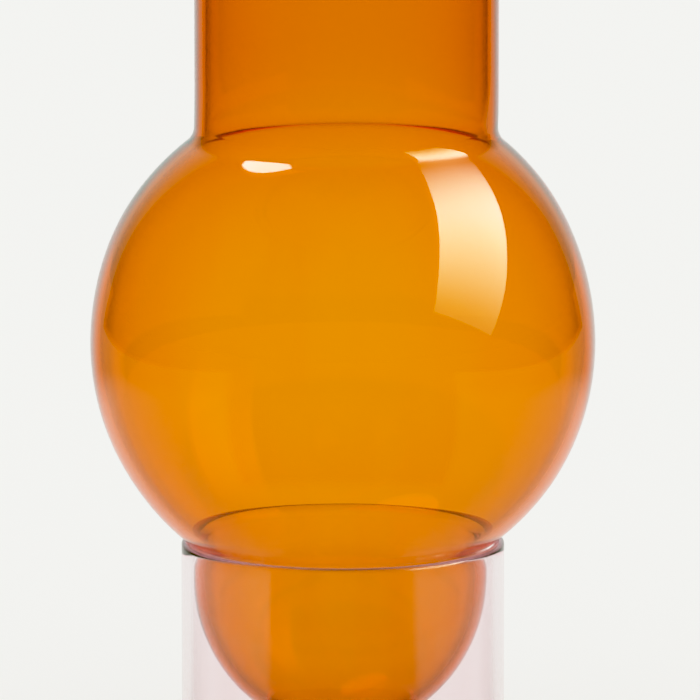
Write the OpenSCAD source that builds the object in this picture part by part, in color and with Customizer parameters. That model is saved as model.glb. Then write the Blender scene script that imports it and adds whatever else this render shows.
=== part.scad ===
// Two-part blown-glass vase.
// An amber vessel (neck, bubble and round-bottomed bowl, blown as one piece) stands in a rose
// glass tube: the bubble rests on the tube's rounded rim and the bowl hangs inside the tube.
// Millimetres, +Z up. The origin is the centre of the foot, on the surface the vase stands on.

/* [Amber vessel] */
// Outer diameter of the bubble
bubble_d = 120; // [110:1:130]
// Outer diameter of the straight neck
neck_d = 72; // [50:1:80]
// Overall height of the vase, from the foot to the lip of the neck
vase_h = 230; // [200:1:260]
// Outer diameter of the bowl under the bubble
bowl_d = 70; // [60:1:70]
// Height of the bowl's rounded bottom, from its widest level down to its lowest point
bowl_depth = 38; // [34:1:40]
// Length of the straight skirt between the waist and the rounded bottom
skirt_h = 6; // [1:0.5:8]
// Wall thickness of the vessel
vessel_wall = 2.4; // [1.8:0.1:3]
// Radius of the outer blend between the neck and the bubble
neck_blend = 5; // [2:0.5:10]
// Radius of the outer blend at the waist, between the bubble and the bowl
waist_blend = 1.5; // [0.8:0.1:2]

/* [Rose base] */
// Outer diameter of the tube
base_d = 77; // [76:0.5:84]
// Height of the tube, from the foot to the top of its rim
base_h = 72; // [66:1:90]
// Wall thickness of the tube
base_wall = 2.5; // [2:0.1:2.8]
// Thickness of the tube's flat floor
floor_t = 4; // [3:0.5:6]
// Radius of the rounded edge around the foot
foot_round = 2.5; // [1:0.5:3]
// Radius of the rounded corner inside, between the wall and the floor
heel_round = 4; // [2:0.5:6]

/* [Fit] */
// Gap between the bubble and the rim that carries it
seat_gap = 0.1; // [0.05:0.05:0.3]

/* [Hidden] */

$fn = 120;
half_bubble_steps = 20;
bowl_steps = 24;
blend_steps = 8;
lip_steps = 12;

bubble_r = bubble_d / 2;
neck_r = neck_d / 2;
bowl_r = bowl_d / 2;
base_r = base_d / 2;
vessel_lip_r = vessel_wall / 2;
rim_lip_r = base_wall / 2;

// The rim's lip is a ring of round section. The bubble's centre stands over it at the height
// where the two surfaces come within seat_gap of each other.
rim_ring_r = base_r - rim_lip_r;
rim_ring_z = base_h - rim_lip_r;
seat_reach = bubble_r + rim_lip_r + seat_gap;
bubble_z = rim_ring_z + sqrt(pow(seat_reach, 2) - pow(rim_ring_r, 2));

// Centres of the two blends, each tangent to the bubble and to the straight wall beside it
neck_blend_c = [neck_r + neck_blend, bubble_z + blend_rise(neck_r, neck_blend)];
waist_blend_c = [bowl_r + waist_blend, bubble_z - blend_rise(bowl_r, waist_blend)];
bowl_c = [0, waist_blend_c.y - skirt_h];

// Directions, from the bubble's centre, in which the blends meet the bubble
neck_angle = atan2(neck_blend_c.y - bubble_z, neck_blend_c.x);
waist_angle = atan2(waist_blend_c.y - bubble_z, waist_blend_c.x);

// Height between the bubble's centre and the centre of a blend of radius blend that joins the
// bubble to a straight wall of radius wall_r
function blend_rise(wall_r, blend) = sqrt(pow(bubble_r + blend, 2) - pow(wall_r + blend, 2));

// Points along an elliptical arc around centre, from one angle to another
function arc(centre, radii, from, to, steps) = [
    for (i = [0:steps])
        let (angle = from + (to - from) * i / steps)
        centre + [radii.x * cos(angle), radii.y * sin(angle)]
];

function round_arc(centre, radius, from, to, steps) =
    arc(centre, [radius, radius], from, to, steps);

// The vessel's surface in section, from the middle of the bowl's bottom up to the lip, set inwards
// by inset: 0 gives the outside and vessel_wall the inside
function vessel_line(inset) = concat(
    arc(bowl_c, [bowl_r - inset, bowl_depth - inset], -90, 0, bowl_steps),
    round_arc(waist_blend_c, waist_blend + inset, 180, waist_angle + 180, blend_steps),
    round_arc([0, bubble_z], bubble_r - inset, waist_angle, 0, half_bubble_steps),
    round_arc([0, bubble_z], bubble_r - inset, 0, neck_angle, half_bubble_steps),
    round_arc(neck_blend_c, neck_blend + inset, neck_angle + 180, 180, blend_steps)
);

function vessel_section() = concat(
    vessel_line(0),
    round_arc([neck_r - vessel_lip_r, vase_h - vessel_lip_r], vessel_lip_r, 0, 180, lip_steps),
    reversed(vessel_line(vessel_wall))
);

function base_section() = concat(
    [[0, 0]],
    round_arc([base_r - foot_round, foot_round], foot_round, -90, 0, blend_steps),
    round_arc([rim_ring_r, rim_ring_z], rim_lip_r, 0, 180, lip_steps),
    round_arc([base_r - base_wall - heel_round, floor_t + heel_round], heel_round, 0, -90, blend_steps),
    [[0, floor_t]]
);

function reversed(points) = [for (i = [len(points) - 1:-1:0]) points[i]];

// The same outline with each point that two joined stretches share kept only once
function without_repeats(points) = [
    for (i = [0:len(points) - 1])
        if (i == 0 || norm(points[i] - points[i - 1]) > 0.001)
            points[i]
];

module amber_vessel() {
    color([0.85, 0.47, 0.02, 0.6])
        rotate_extrude()
            polygon(without_repeats(vessel_section()));
}

module rose_base() {
    color([0.95, 0.83, 0.86, 0.4])
        rotate_extrude()
            polygon(without_repeats(base_section()));
}

amber_vessel();
rose_base();
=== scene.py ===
"""A two-part blown-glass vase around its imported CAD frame.

An amber vessel (neck, bubble, waist and bowl in one piece of glass) stands in a rose glass tube. Both
are turned from their wall sections, with the wall's true thickness and the small irregularities of
blown glass. Metres, the row frame: +Z up, the foot's centre at the origin, the camera in front at -Y.
"""

import math

import bmesh
import bpy
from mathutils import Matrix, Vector, noise


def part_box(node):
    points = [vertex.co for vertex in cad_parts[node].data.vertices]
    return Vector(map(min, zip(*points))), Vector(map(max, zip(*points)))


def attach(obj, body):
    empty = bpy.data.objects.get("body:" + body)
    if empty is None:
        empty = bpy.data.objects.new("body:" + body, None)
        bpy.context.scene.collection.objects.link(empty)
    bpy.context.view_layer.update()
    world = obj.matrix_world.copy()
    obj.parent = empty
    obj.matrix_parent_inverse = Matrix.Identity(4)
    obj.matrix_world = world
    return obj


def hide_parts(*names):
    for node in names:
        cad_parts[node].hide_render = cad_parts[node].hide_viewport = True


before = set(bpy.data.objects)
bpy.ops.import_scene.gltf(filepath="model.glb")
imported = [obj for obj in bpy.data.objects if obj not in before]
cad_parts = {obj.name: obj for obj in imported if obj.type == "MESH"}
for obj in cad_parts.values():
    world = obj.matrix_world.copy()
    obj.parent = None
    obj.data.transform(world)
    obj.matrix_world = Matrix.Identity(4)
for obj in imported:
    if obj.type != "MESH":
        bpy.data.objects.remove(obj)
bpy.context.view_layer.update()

# Wall sections: the sizes that the frame's boxes don't give
VESSEL_WALL = 0.0024
NECK_BLEND = 0.005
WAIST_BLEND = 0.0015
BOWL_DEPTH = 0.038
SKIRT = 0.006
BASE_WALL = 0.0025
BASE_FLOOR = 0.004
FOOT_ROUND = 0.0025
HEEL_ROUND = 0.004
SEAT_GAP = 0.0001

# How finely the glass is turned
SEGMENTS = 224
BUBBLE_STEPS = 44
BOWL_STEPS = 36
BLEND_STEPS = 10
LIP_STEPS = 14
WALL_STEPS = 24


def widest(node, low, high):
    """The largest distance from the axis of a CAD node's vertices between two heights."""
    return max(
        math.hypot(v.co.x, v.co.y)
        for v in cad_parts[node].data.vertices
        if low <= v.co.z <= high
    )


# The neck is measured near its top, and the bowl below the base's rim
NECK_TOP = 0.02
BELOW_RIM = 0.005

VESSEL_LOW, VESSEL_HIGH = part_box("amber_vessel")
BASE_LOW, BASE_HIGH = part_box("rose_base")
TOP = VESSEL_HIGH.z
BUBBLE_R = widest("amber_vessel", VESSEL_LOW.z, TOP)
NECK_R = widest("amber_vessel", TOP - NECK_TOP, TOP)
BOWL_R = widest("amber_vessel", VESSEL_LOW.z, BASE_HIGH.z - BELOW_RIM)
BASE_R = widest("rose_base", BASE_LOW.z, BASE_HIGH.z)
BASE_H = BASE_HIGH.z

RING_R = BASE_R - BASE_WALL / 2
RING_Z = BASE_H - BASE_WALL / 2
BUBBLE_Z = RING_Z + math.sqrt((BUBBLE_R + BASE_WALL / 2 + SEAT_GAP) ** 2 - RING_R**2)


def blend_rise(wall_r, blend):
    """Height between the bubble's centre and the centre of a blend that joins it to a straight wall."""
    return math.sqrt((BUBBLE_R + blend) ** 2 - (wall_r + blend) ** 2)


NECK_CENTRE = (NECK_R + NECK_BLEND, BUBBLE_Z + blend_rise(NECK_R, NECK_BLEND))
WAIST_CENTRE = (BOWL_R + WAIST_BLEND, BUBBLE_Z - blend_rise(BOWL_R, WAIST_BLEND))
BOWL_CENTRE = (0.0, WAIST_CENTRE[1] - SKIRT)
NECK_ANGLE = math.degrees(math.atan2(NECK_CENTRE[1] - BUBBLE_Z, NECK_CENTRE[0]))
WAIST_ANGLE = math.degrees(math.atan2(WAIST_CENTRE[1] - BUBBLE_Z, WAIST_CENTRE[0]))


# Wall sections -----------------------------------------------------------------------------------


def arc(centre, radii, start, end, steps):
    """Points along an elliptical arc, angles in degrees."""
    turn = [math.radians(start + (end - start) * i / steps) for i in range(steps + 1)]
    return [(centre[0] + radii[0] * math.cos(a), centre[1] + radii[1] * math.sin(a)) for a in turn]


def round_arc(centre, radius, start, end, steps):
    return arc(centre, (radius, radius), start, end, steps)


def straight(start, end, steps):
    """Points inside the straight stretch between two points, without its ends."""
    return [
        (start[0] + (end[0] - start[0]) * i / steps, start[1] + (end[1] - start[1]) * i / steps)
        for i in range(1, steps)
    ]


def without_repeats(points):
    kept = [points[0]]
    for p in points[1:]:
        if math.dist(p, kept[-1]) > 1e-6:
            kept.append(p)
    return kept


def vessel_side(inset):
    """One face of the vessel's wall, from the bowl's bottom to the lip, inset from the outer face."""
    bowl = arc(BOWL_CENTRE, (BOWL_R - inset, BOWL_DEPTH - inset), -90, 0, BOWL_STEPS)
    waist = round_arc(WAIST_CENTRE, WAIST_BLEND + inset, 180, WAIST_ANGLE + 180, BLEND_STEPS)
    bubble = round_arc((0, BUBBLE_Z), BUBBLE_R - inset, WAIST_ANGLE, 0, BUBBLE_STEPS)
    shoulder = round_arc((0, BUBBLE_Z), BUBBLE_R - inset, 0, NECK_ANGLE, BUBBLE_STEPS)
    neck = round_arc(NECK_CENTRE, NECK_BLEND + inset, NECK_ANGLE + 180, 180, BLEND_STEPS)
    lip = (NECK_R - inset, TOP - VESSEL_WALL / 2)
    return without_repeats(
        bowl + straight(bowl[-1], waist[0], 4) + waist + bubble + shoulder + neck
        + straight(neck[-1], lip, WALL_STEPS)
    )


def vessel_section():
    """The vessel's outer face and its inner face, which meet at the top of the lip."""
    lip_centre = (NECK_R - VESSEL_WALL / 2, TOP - VESSEL_WALL / 2)
    half = LIP_STEPS // 2
    outer = vessel_side(0) + round_arc(lip_centre, VESSEL_WALL / 2, 0, 90, half)
    inner = round_arc(lip_centre, VESSEL_WALL / 2, 90, 180, half) + vessel_side(VESSEL_WALL)[::-1]
    return without_repeats(outer), without_repeats(inner)


def base_section():
    """The base's outer face and its inner face, which meet at the top of the rim."""
    foot = round_arc((BASE_R - FOOT_ROUND, FOOT_ROUND), FOOT_ROUND, -90, 0, BLEND_STEPS)
    rim = round_arc((RING_R, RING_Z), BASE_WALL / 2, 0, 90, LIP_STEPS // 2)
    lip = round_arc((RING_R, RING_Z), BASE_WALL / 2, 90, 180, LIP_STEPS // 2)
    heel_centre = (BASE_R - BASE_WALL - HEEL_ROUND, BASE_FLOOR + HEEL_ROUND)
    heel = round_arc(heel_centre, HEEL_ROUND, 0, -90, BLEND_STEPS)
    under = straight((0, 0), foot[0], 8)
    top = straight(heel[-1], (0, BASE_FLOOR), 8)
    outer = [(0, 0)] + under + foot + straight(foot[-1], rim[0], WALL_STEPS) + rim
    inner = lip + straight(lip[-1], heel[0], WALL_STEPS) + heel + top + [(0, BASE_FLOOR)]
    return without_repeats(outer), without_repeats(inner)


# Turning -----------------------------------------------------------------------------------------


def turn(name, outer, inner, shape):
    """Turns an outline round the axis. shape moves each point a little, as blowing does: it gets the
    point, and whether it lies on the inner run."""
    mesh = bmesh.new()
    rings = []
    line = [(r, z, False) for r, z in outer] + [(r, z, True) for r, z in inner[1:]]
    for radius, height, inside in line:
        count = 1 if radius < 1e-7 else SEGMENTS
        ring = []
        for k in range(count):
            a = 2 * math.pi * k / SEGMENTS
            point = Vector((radius * math.cos(a), radius * math.sin(a), height))
            ring.append(mesh.verts.new(shape(point, inside)))
        rings.append(ring)
    for low, high in zip(rings, rings[1:]):
        for k in range(SEGMENTS):
            after = (k + 1) % SEGMENTS
            if len(low) == 1:
                corners = (low[0], high[after], high[k])
            elif len(high) == 1:
                corners = (low[k], low[after], high[0])
            else:
                corners = (low[k], low[after], high[after], high[k])
            mesh.faces.new(corners).smooth = True
    bmesh.ops.recalc_face_normals(mesh, faces=mesh.faces)
    data = bpy.data.meshes.new(name)
    mesh.to_mesh(data)
    mesh.free()
    piece = bpy.data.objects.new(name, data)
    bpy.context.scene.collection.objects.link(piece)
    return piece


def smooth_step(low, high, x):
    """0 at low and 1 at high, smooth between them. High may be the lower."""
    t = min(max((x - low) / (high - low), 0.0), 1.0)
    return t * t * (3 - 2 * t)


# The vessel's irregularities: how far the neck and the bowl lean, how much the shoulder is lifted above a
# sphere's, the heights from the bubble's centre between which each comes in, and the depths below the
# mouth where the lift has gone and where it is whole
NECK_LEAN = 0.0009
NECK_BEND = (0.02, 0.06)
BOWL_LEAN = 0.0007
BOWL_BEND = (-0.03, -0.06)
SHOULDER_LIFT = 0.0014
SHOULDER_RISE = (0.0, 0.036)
MOUTH_DEPTHS = (0.002, 0.03)

# How far the vessel's outer and inner faces wander, and the tube's inner face
VESSEL_WANDER = (0.00004, 0.00012)
TUBE_WANDER = 0.00008


def wandered(point, scale, stretch, reach):
    """The point moved in or out by up to this reach, by noise of this scale stretched along Z."""
    radius = math.hypot(point.x, point.y)
    if radius < 1e-6:
        return point
    wander = noise.noise(Vector((point.x, point.y, point.z * stretch)) * scale) * reach
    return Vector((point.x * (1 + wander / radius), point.y * (1 + wander / radius), point.z))


def blown(point, inside):
    """The neck leans a little to one side of the bubble and the bowl to the other, the shoulder is a
    little fuller than a sphere's, and the wall's thickness varies."""
    point = wandered(point, 28, 0.6, VESSEL_WANDER[inside])
    neck, bowl, shoulder = (
        smooth_step(BUBBLE_Z + start, BUBBLE_Z + end, point.z)
        for start, end in (NECK_BEND, BOWL_BEND, SHOULDER_RISE)
    )
    below_mouth = smooth_step(TOP - MOUTH_DEPTHS[0], TOP - MOUTH_DEPTHS[1], point.z)
    lean = NECK_LEAN * neck - BOWL_LEAN * bowl
    return point + Vector((lean, 0, SHOULDER_LIFT * shoulder * below_mouth))


def drawn(point, inside):
    """The tube's inside wanders against its outside."""
    return wandered(point, 30, 0.25, TUBE_WANDER) if inside else point


# Materials ---------------------------------------------------------------------------------------


def link(tree, start, end):
    tree.links.new(start, end)


def maths(tree, operation, *values):
    """A Math node over sockets and plain numbers."""
    node = tree.nodes.new("ShaderNodeMath")
    node.operation = operation
    for socket, value in zip(node.inputs, values):
        if isinstance(value, (int, float)):
            socket.default_value = value
        else:
            link(tree, value, socket)
    return node.outputs["Value"]


def ramp(tree, value, low, high):
    """0 where the value is below low and 1 above high, smooth between them. High may be the lower."""
    node = tree.nodes.new("ShaderNodeMapRange")
    node.interpolation_type = "SMOOTHSTEP"
    swapped = high < low
    link(tree, value, node.inputs["Value"])
    node.inputs["From Min"].default_value = high if swapped else low
    node.inputs["From Max"].default_value = low if swapped else high
    node.inputs["To Min"].default_value = 1.0 if swapped else 0.0
    node.inputs["To Max"].default_value = 0.0 if swapped else 1.0
    return node.outputs["Result"]


def product(tree, *values):
    result = values[0]
    for value in values[1:]:
        result = maths(tree, "MULTIPLY", result, value)
    return result


def mixed(tree, factor, first, second):
    """A colour between two, which are sockets or plain colours."""
    node = tree.nodes.new("ShaderNodeMix")
    node.data_type = "RGBA"
    link(tree, factor, node.inputs["Factor"])
    for socket, value in ((node.inputs["A"], first), (node.inputs["B"], second)):
        if isinstance(value, tuple):
            socket.default_value = (*value, 1)
        else:
            link(tree, value, socket)
    return node.outputs["Result"]


def mirrored(tree):
    """1 on what polished faces mirror to the eye, up to four times over, and 0 on what is seen straight
    or through the glass, is led further along inside a wall, or lights a dull surface."""
    path = tree.nodes.new("ShaderNodeLightPath")
    off_glass = maths(tree, "GREATER_THAN", path.outputs["Glossy Depth"], 0.5)
    few = maths(tree, "LESS_THAN", path.outputs["Glossy Depth"], 4.5)
    return product(tree, off_glass, few, maths(tree, "LESS_THAN", path.outputs["Diffuse Depth"], 0.5))


def separated(tree, vector):
    node = tree.nodes.new("ShaderNodeSeparateXYZ")
    link(tree, vector, node.inputs["Vector"])
    return node.outputs


def dotted(tree, vector, fixed):
    node = tree.nodes.new("ShaderNodeVectorMath")
    node.operation = "DOT_PRODUCT"
    link(tree, vector, node.inputs[0])
    node.inputs[1].default_value = fixed
    return node.outputs["Value"]


def glass(name):
    """Clear polished glass, to be given its colour."""
    material = bpy.data.materials.new(name)
    material.use_nodes = True
    shader = material.node_tree.nodes["Principled BSDF"]
    shader.inputs["Transmission Weight"].default_value = 1.0
    shader.inputs["IOR"].default_value = 1.5
    return material, material.node_tree, shader


def give_body(tree, passed, thickness):
    """A body that lets these shares of red, green and blue through at this thickness."""
    losses = [-math.log(share) / thickness for share in passed]
    volume = tree.nodes.new("ShaderNodeVolumeAbsorption")
    volume.inputs["Color"].default_value = (*[1 - loss / max(losses) for loss in losses], 1)
    volume.inputs["Density"].default_value = max(losses)
    link(tree, volume.outputs["Volume"], tree.nodes["Material Output"].inputs["Volume"])


def cloudy(tree, place, stretch, scale, detail):
    """Noise from 0 to 1 over the piece, drawn out along some axes."""
    mapping = tree.nodes.new("ShaderNodeMapping")
    mapping.inputs["Scale"].default_value = stretch
    link(tree, place, mapping.inputs["Vector"])
    node = tree.nodes.new("ShaderNodeTexNoise")
    node.inputs["Scale"].default_value = scale
    node.inputs["Detail"].default_value = detail
    link(tree, mapping.outputs["Vector"], node.inputs["Vector"])
    return node.outputs["Fac"]


# The shares of red, green and blue that two walls of each glass let through
AMBER_BODY = (0.935, 0.315, 0.003)
ROSE_BODY = (0.999, 0.98, 0.985)

# The tints of the faces: of the amber's neck, streaks and clouds, and of the rose's paler and deeper
# streaks and its foot
CLEAR = (1.0, 1.0, 1.0)
NECK_TINT = (0.935, 0.785, 0.8)
STREAK_TINT = (0.965, 0.87, 0.82)
CLOUD_TINT = (0.95, 0.82, 0.75)
PALE_ROSE = (0.997, 0.935, 0.955)
DEEP_ROSE = (0.99, 0.91, 0.93)
FOOT_ROSE = (0.985, 0.87, 0.905)


def make_amber():
    """Amber in the body. The neck is a little deeper and redder, where the gather was thicker, faint
    streaks run up the glass and the polish is touched by faint smears."""
    material, tree, shader = glass("amber_glass")
    give_body(tree, AMBER_BODY, 2 * VESSEL_WALL)
    place = tree.nodes.new("ShaderNodeTexCoord").outputs["Object"]
    height = separated(tree, place)["Z"]
    neck = ramp(tree, height, BUBBLE_Z + 0.025, BUBBLE_Z + 0.075)
    gathered = mixed(tree, neck, CLEAR, NECK_TINT)
    streak = ramp(tree, cloudy(tree, place, (1.0, 1.0, 0.12), 85.0, 3.0), 0.35, 0.75)
    cloud = ramp(tree, cloudy(tree, place, (1.0, 1.0, 0.6), 24.0, 2.0), 0.3, 0.7)
    streaked = mixed(tree, product(tree, streak, 0.7), gathered, STREAK_TINT)
    deep = mixed(tree, product(tree, cloud, 0.12), streaked, CLOUD_TINT)
    faint = mixed(tree, product(tree, streak, 0.16), gathered, streaked)
    link(tree, mixed(tree, product(tree, cloud, 0.35), faint, deep), shader.inputs["Base Color"])
    smear = ramp(tree, cloudy(tree, place, (1.0, 1.0, 1.7), 40.0, 4.0), 0.55, 0.8)
    link(tree, product(tree, smear, 0.035), shader.inputs["Roughness"])
    return material


def make_rose():
    """Rose on the faces of a clear tube, in fine drawn streaks, so the wall leads light up to its rim."""
    material, tree, shader = glass("rose_glass")
    give_body(tree, ROSE_BODY, 2 * BASE_WALL)
    place = tree.nodes.new("ShaderNodeTexCoord").outputs["Object"]
    height = separated(tree, place)["Z"]
    drawn_out = ramp(tree, cloudy(tree, place, (1.0, 1.0, 0.03), 150.0, 3.0), 0.3, 0.7)
    pale = mixed(tree, drawn_out, PALE_ROSE, DEEP_ROSE)
    foot = ramp(tree, height, 0.016, 0.002)
    deeper = mixed(tree, product(tree, foot, 0.6), pale, FOOT_ROSE)
    link(tree, deeper, shader.inputs["Base Color"])
    smear = ramp(tree, cloudy(tree, place, (1.0, 1.0, 1.5), 45.0, 4.0), 0.55, 0.8)
    lip = ramp(tree, height, BASE_H - 0.0016, BASE_H - 0.0008)
    polish = maths(tree, "MAXIMUM", product(tree, smear, 0.03), product(tree, lip, 0.15))
    link(tree, polish, shader.inputs["Roughness"])
    return material


vessel = turn("amber_vessel_glass", *vessel_section(), blown)
vessel.data.materials.append(make_amber())
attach(vessel, "vessel")
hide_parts("amber_vessel")

base = turn("rose_base_glass", *base_section(), drawn)
base.data.materials.append(make_rose())
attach(base, "base")
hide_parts("rose_base")


# Studio ------------------------------------------------------------------------------------------


def plain_object(name, points, faces):
    data = bpy.data.meshes.new(name)
    data.from_pydata([tuple(p) for p in points], [], faces)
    thing = bpy.data.objects.new(name, data)
    bpy.context.scene.collection.objects.link(thing)
    return thing


# Pairs of angles (in degrees) and of distances are where something is 0 and where it is 1.

# The colours of the floor as it is seen, and of the floor, the backdrop and the room as glass mirrors them,
# which are painted reflections
PAPER = (0.95, 0.955, 0.925)
MIRRORED_PAPER = (0.85, 0.85, 0.83)
BACKDROP = (0.72, 0.86, 0.85)
ROOM = (0.012, 0.012, 0.012)

# The floor lies a little below the foot, so that their faces don't coincide
FLOOR_REACH = 30
FLOOR_GAP = 0.0002

# The paper as the glass mirrors it, painted: its edges to the left and right, and the angle from the front
# beyond which it goes on
PAPER_EDGE = (0.94, 0.84)
PAPER_BACK = (138, 140)

# The painted dark reflection in front of the vase, where nothing dark lies: its half angle, how far from
# the axis it starts, and the painted sheen that what has been inside the glass sees on it near the vase
DARK_FRONT = (54, 48)
PAINTED_DARK_START = (0.10, 0.13)
PAINTED_SHEEN = 0.6

# In the glass the paper is painted dimmer at the sides than at the back, and more so where it is far from
# the vase
FLOOR_SIDES = 0.62
FLOOR_BACK = (114, 142)
FAR_FLOOR = (0.35, 0.6)
FAR_SIDES = 0.33
FAR_BACK = (139, 160)

# Painted shade: what is led along inside a wall is given the paper straight behind the vase darker, which
# outlines the glass: for the bubble and the neck by direction, and for the bowl by angle and by the faces
# passed
STRAIGHT_BACK = (0.0, 0.986, -0.168)
EDGE_ANGLES = (29, 7)
EDGE_DARK = 0.9
BOWL_EDGE = (150, 172)
BOWL_FACES = 5.5

# The soft light, and the backdrop, a painted reflection that only the glass shows: its half angle, its
# height, its level at the sides and where it fades
WORLD = (1.06, 1.06, 1.05)
BACKDROP_SIDE = (42, 40)
BACKDROP_TOP = (50, 47)
BACKDROP_EDGE = 0.33
BACKDROP_FADE = (41, 20)

# The room's low walls, a painted reflection that the tube's floor shows through the glass
LOW_WALLS = (0.6, 0.6, 0.58)
LOW_HEIGHTS = (30, 24)
LOW_FACES = 3.5

# The softbox, a painted highlight that only the glass shows and that lights nothing: the directions of its
# centre and of its half width and half length, the softness of its edge, its full and its lowest level,
# where along it white and blue rise, and where it fades at the top
SOFTBOX = ((0.765, -0.023, 0.644), (0.105, 0.251, -0.141), (-0.157, 0.576, 0.422))
SOFTBOX_EDGE = 0.015
SOFTBOX_WHITE = (12.4, 1.0)
SOFTBOX_BLUE = (10.7, 1.0)
WHITE_RISE = (-1.15, 0.1)
BLUE_RISE = (-0.95, 0.2)
SOFTBOX_FADE = (1.0, 0.1)

# The round light, a painted highlight that only the glass shows and that lights nothing: its direction, its
# edge and its colour
TOP_LIGHT = (-0.262, 0.369, 0.892)
TOP_LIGHT_EDGE = (15.0, 14.3)
TOP_LIGHT_COLOUR = (13.0, 12.5, 12.0)

# The share of both painted highlights that is left for what has been inside the glass
LIGHTS_INSIDE = 0.15


def over_angle(tree, angle, edge):
    """A ramp over an angle in radians, between two in degrees."""
    return ramp(tree, angle, *(math.radians(degrees) for degrees in edge))


def towards(tree, look, direction, edge):
    """A ramp over how far a direction is from a fixed one, between two angles."""
    return ramp(tree, dotted(tree, look, direction), *(math.cos(math.radians(degrees)) for degrees in edge))


def without(tree, share):
    """What is left of 1 without this share."""
    return maths(tree, "SUBTRACT", 1.0, share)


def at_least(tree, share, least):
    """The share from 0 to 1, raised so that it starts at least."""
    return maths(tree, "MULTIPLY_ADD", share, 1 - least, least)


def entered(tree, faces=0.5):
    """1 on what has passed more glass faces than this, so by default 0 on what an outer face mirrors."""
    path = tree.nodes.new("ShaderNodeLightPath")
    return maths(tree, "GREATER_THAN", path.outputs["Transmission Depth"], faces)


def painted_edge_shade(tree, look):
    """Painted shade that outlines the glass: the share of light from a direction taken away for what is led
    along inside a wall.
    """
    return product(tree, entered(tree), towards(tree, look, STRAIGHT_BACK, EDGE_ANGLES), EDGE_DARK)


def direction_from(tree, origin, position):
    offset = tree.nodes.new("ShaderNodeVectorMath")
    offset.operation = "SUBTRACT"
    link(tree, position, offset.inputs[0])
    offset.inputs[1].default_value = origin
    unit = tree.nodes.new("ShaderNodeVectorMath")
    unit.operation = "NORMALIZE"
    link(tree, offset.outputs["Vector"], unit.inputs[0])
    return unit.outputs["Vector"]


def painted_paper_light(tree, from_front, far):
    """The painted brightness of the paper's reflection in the glass, by the angle from the front."""
    near_lit = at_least(tree, over_angle(tree, from_front, FLOOR_BACK), FLOOR_SIDES)
    far_lit = at_least(tree, over_angle(tree, from_front, FAR_BACK), FAR_SIDES)
    outer_far = product(tree, far, without(tree, entered(tree)))
    return maths(tree, "MULTIPLY_ADD", outer_far, maths(tree, "SUBTRACT", far_lit, near_lit), near_lit)


def painted_paper_reflection(tree):
    """The painted reflection of the floor in the glass: 1 on bright paper and 0 on the painted dark patch
    and beyond the paper.
    """
    position = tree.nodes.new("ShaderNodeNewGeometry").outputs["Position"]
    place = separated(tree, position)
    x_square = product(tree, place["X"], place["X"])
    y_square = product(tree, place["Y"], place["Y"])
    distance = maths(tree, "SQRT", maths(tree, "ADD", x_square, y_square))
    forward = product(tree, place["Y"], -1.0)
    from_front = maths(tree, "ABSOLUTE", maths(tree, "ARCTAN2", place["X"], forward))
    far = ramp(tree, distance, *FAR_FLOOR)

    between_edges = ramp(tree, maths(tree, "ABSOLUTE", place["X"]), *PAPER_EDGE)
    paper = maths(tree, "MAXIMUM", between_edges, over_angle(tree, from_front, PAPER_BACK))

    # Painted sheen and a painted dark patch in front of the vase, seen only in the glass
    sheen = product(tree, entered(tree), without(tree, far), PAINTED_SHEEN)
    in_painted_dark = product(tree, over_angle(tree, from_front, DARK_FRONT), ramp(tree, distance, *PAINTED_DARK_START))
    painted_dark = product(tree, in_painted_dark, without(tree, sheen))

    # Painted shade that draws dark outlines along the glass
    from_bubble = direction_from(tree, (0, 0, BUBBLE_Z), position)
    far_edge = product(tree, painted_edge_shade(tree, from_bubble), far)
    behind = over_angle(tree, from_front, BOWL_EDGE)
    bowl_edge = product(tree, entered(tree, BOWL_FACES), behind, EDGE_DARK)
    edge = maths(tree, "MAXIMUM", far_edge, bowl_edge)

    # The paper's reflection is painted dimmer at the sides and far off
    lit = painted_paper_light(tree, from_front, far)
    return product(tree, lit, paper, without(tree, painted_dark), without(tree, edge))


def make_floor():
    """Pale paper, evenly bright as seen straight. Its reflection in the glass is painted, dark in front of
    the vase, though nothing dark lies there.
    """
    square = [(-FLOOR_REACH, -FLOOR_REACH), (FLOOR_REACH, -FLOOR_REACH)]
    square += [(FLOOR_REACH, FLOOR_REACH), (-FLOOR_REACH, FLOOR_REACH)]
    floor = plain_object("floor", [(x, y, -FLOOR_GAP) for x, y in square], [(0, 1, 2, 3)])
    material = bpy.data.materials.new("floor_paper")
    material.use_nodes = True
    tree = material.node_tree
    shader = tree.nodes["Principled BSDF"]
    shader.inputs["Roughness"].default_value = 0.9
    shader.inputs["Specular IOR Level"].default_value = 0.0
    # Seen straight the floor is pale paper; in reflections its colour is painted
    reflected = mixed(tree, painted_paper_reflection(tree), ROOM, MIRRORED_PAPER)
    link(tree, mixed(tree, mirrored(tree), PAPER, reflected), shader.inputs["Base Color"])
    floor.data.materials.append(material)


def panel_in(tree, look, panel, edge):
    """(1 inside a far panel and 0 outside it, the place along it from -1 at the foot to 1)."""
    centre, across, along = (Vector(v) for v in panel)
    depth = dotted(tree, look, across.cross(along))
    u = maths(tree, "DIVIDE", dotted(tree, look, along.cross(centre)), depth)
    v = maths(tree, "DIVIDE", dotted(tree, look, centre.cross(across)), depth)
    facing = 1.0 if centre.dot(across.cross(along)) > 0 else -1.0
    inside = product(
        tree,
        maths(tree, "GREATER_THAN", product(tree, depth, facing), 0.0),
        ramp(tree, maths(tree, "ABSOLUTE", u), 1 + edge, 1 - edge),
        ramp(tree, maths(tree, "ABSOLUTE", v), 1 + edge, 1 - edge),
    )
    return inside, v


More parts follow.
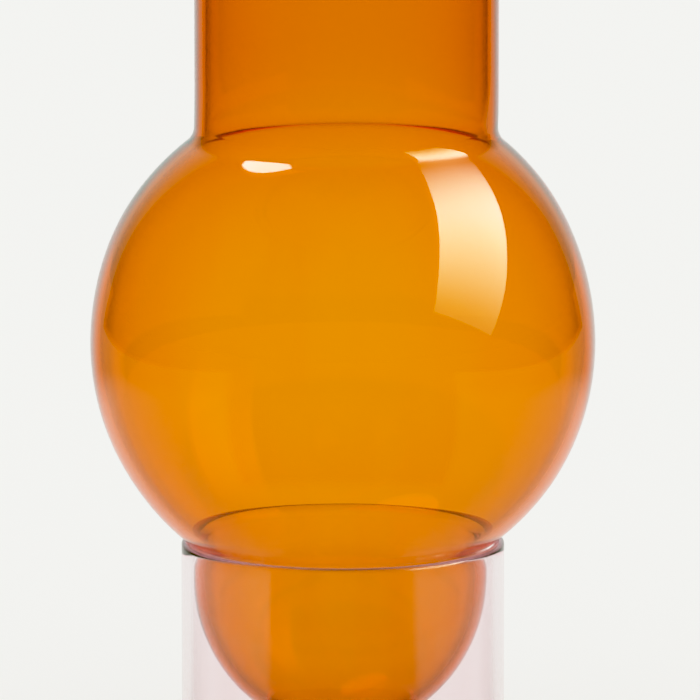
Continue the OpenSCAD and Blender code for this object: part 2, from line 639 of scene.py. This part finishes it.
def painted_softbox(tree, place):
    """The painted softbox highlight's colour along its length: warm and dim at the foot, whiter above, dark
    at the top.
    """
    fade = ramp(tree, place, *SOFTBOX_FADE)
    shades = []
    for (full, foot), rise in ((SOFTBOX_WHITE, WHITE_RISE), (SOFTBOX_BLUE, BLUE_RISE)):
        shade = maths(tree, "MULTIPLY_ADD", ramp(tree, place, *rise), full - foot, foot)
        shades.append(product(tree, shade, fade))
    white, blue = shades
    colour = tree.nodes.new("ShaderNodeCombineXYZ")
    for socket, shade in zip(colour.inputs, (white, white, blue)):
        link(tree, shade, socket)
    return colour.outputs["Vector"]


def painted_room_reflection(tree, look):
    """The painted reflection that the glass shows: a dark room with a pale backdrop behind the vase, a tall
    softbox at the upper right and a round light high behind at the left, painted highlights that light
    nothing."""
    toward = separated(tree, look)
    sideways = maths(tree, "ABSOLUTE", maths(tree, "ARCTAN2", toward["X"], toward["Y"]))
    height = maths(tree, "ARCSINE", toward["Z"])

    low = product(tree, over_angle(tree, height, LOW_HEIGHTS), entered(tree, LOW_FACES))
    room = mixed(tree, low, ROOM, LOW_WALLS)

    # The backdrop's reflection is painted, and carries the painted edge shade
    level = at_least(tree, over_angle(tree, sideways, BACKDROP_FADE), BACKDROP_EDGE)
    backdrop = product(
        tree,
        over_angle(tree, sideways, BACKDROP_SIDE),
        over_angle(tree, height, BACKDROP_TOP),
        level,
        without(tree, painted_edge_shade(tree, look)),
    )
    seen = mixed(tree, backdrop, room, BACKDROP)

    # Painted highlights, which light nothing: the softbox and the round light
    strength = at_least(tree, without(tree, entered(tree)), LIGHTS_INSIDE)
    box, place = panel_in(tree, look, SOFTBOX, SOFTBOX_EDGE)
    seen = mixed(tree, product(tree, box, strength), seen, painted_softbox(tree, place))
    top = towards(tree, look, TOP_LIGHT, TOP_LIGHT_EDGE)
    return mixed(tree, product(tree, top, strength), seen, TOP_LIGHT_COLOUR)


def make_world():
    """Soft white light from all sides, and the painted room reflection that only the glass shows."""
    world = bpy.data.worlds.new("studio")
    bpy.context.scene.world = world
    world.use_nodes = True
    world.cycles.sampling_method = "NONE"
    tree = world.node_tree
    look = tree.nodes.new("ShaderNodeTexCoord").outputs["Generated"]
    # Straight and diffuse rays see soft white light; mirrored rays see the painted room reflection
    seen = mixed(tree, mirrored(tree), WORLD, painted_room_reflection(tree, look))
    back = tree.nodes["Background"]
    link(tree, seen, back.inputs["Color"])
    back.inputs["Strength"].default_value = 1.0


make_floor()
make_world()

# The camera's downward pitch in degrees, its distance, the width it sees there, and its aim's distance
# from the bubble's centre
CAMERA_PITCH = 9.7
CAMERA_DISTANCE = 2.0
FRAME_WIDTH = 0.1663
AIM_OFFSET = (0.0017, 0, -0.0019)


def make_camera():
    data = bpy.data.cameras.new("camera")
    camera = bpy.data.objects.new("camera", data)
    bpy.context.scene.collection.objects.link(camera)
    pitch = math.radians(CAMERA_PITCH)
    aim = Vector((0, 0, BUBBLE_Z)) + Vector(AIM_OFFSET)
    back = Vector((0, -math.cos(pitch), math.sin(pitch)))
    camera.location = aim + back * CAMERA_DISTANCE
    camera.rotation_euler = (math.radians(90) - pitch, 0, 0)
    data.sensor_width = 36
    data.lens = 36 * CAMERA_DISTANCE / FRAME_WIDTH
    data.clip_start = 0.1
    data.clip_end = 100
    bpy.context.scene.camera = camera


make_camera()

# Light is led along inside the tube's wall, so its paths are long
BOUNCES = 48

# The tone curve: what it takes away as black, its white, and the points of its midtones and shoulder
TONE_BLACK = (0, 0, 0.03)
TONE_WHITE = (1.25, 1.25, 1.25)
TONE_POINTS = ((0.4, 0.5), (0.56, 0.69), (0.664, 0.8), (0.8, 0.896))

scene = bpy.context.scene
scene.view_settings.view_transform = "Standard"
scene.view_settings.use_curve_mapping = True
tone = scene.view_settings.curve_mapping
tone.black_level = TONE_BLACK
tone.white_level = TONE_WHITE
for level, shown in TONE_POINTS:
    tone.curves[3].points.new(level, shown)
tone.update()
scene.cycles.max_bounces = BOUNCES
scene.cycles.transmission_bounces = BOUNCES
scene.cycles.glossy_bounces = BOUNCES
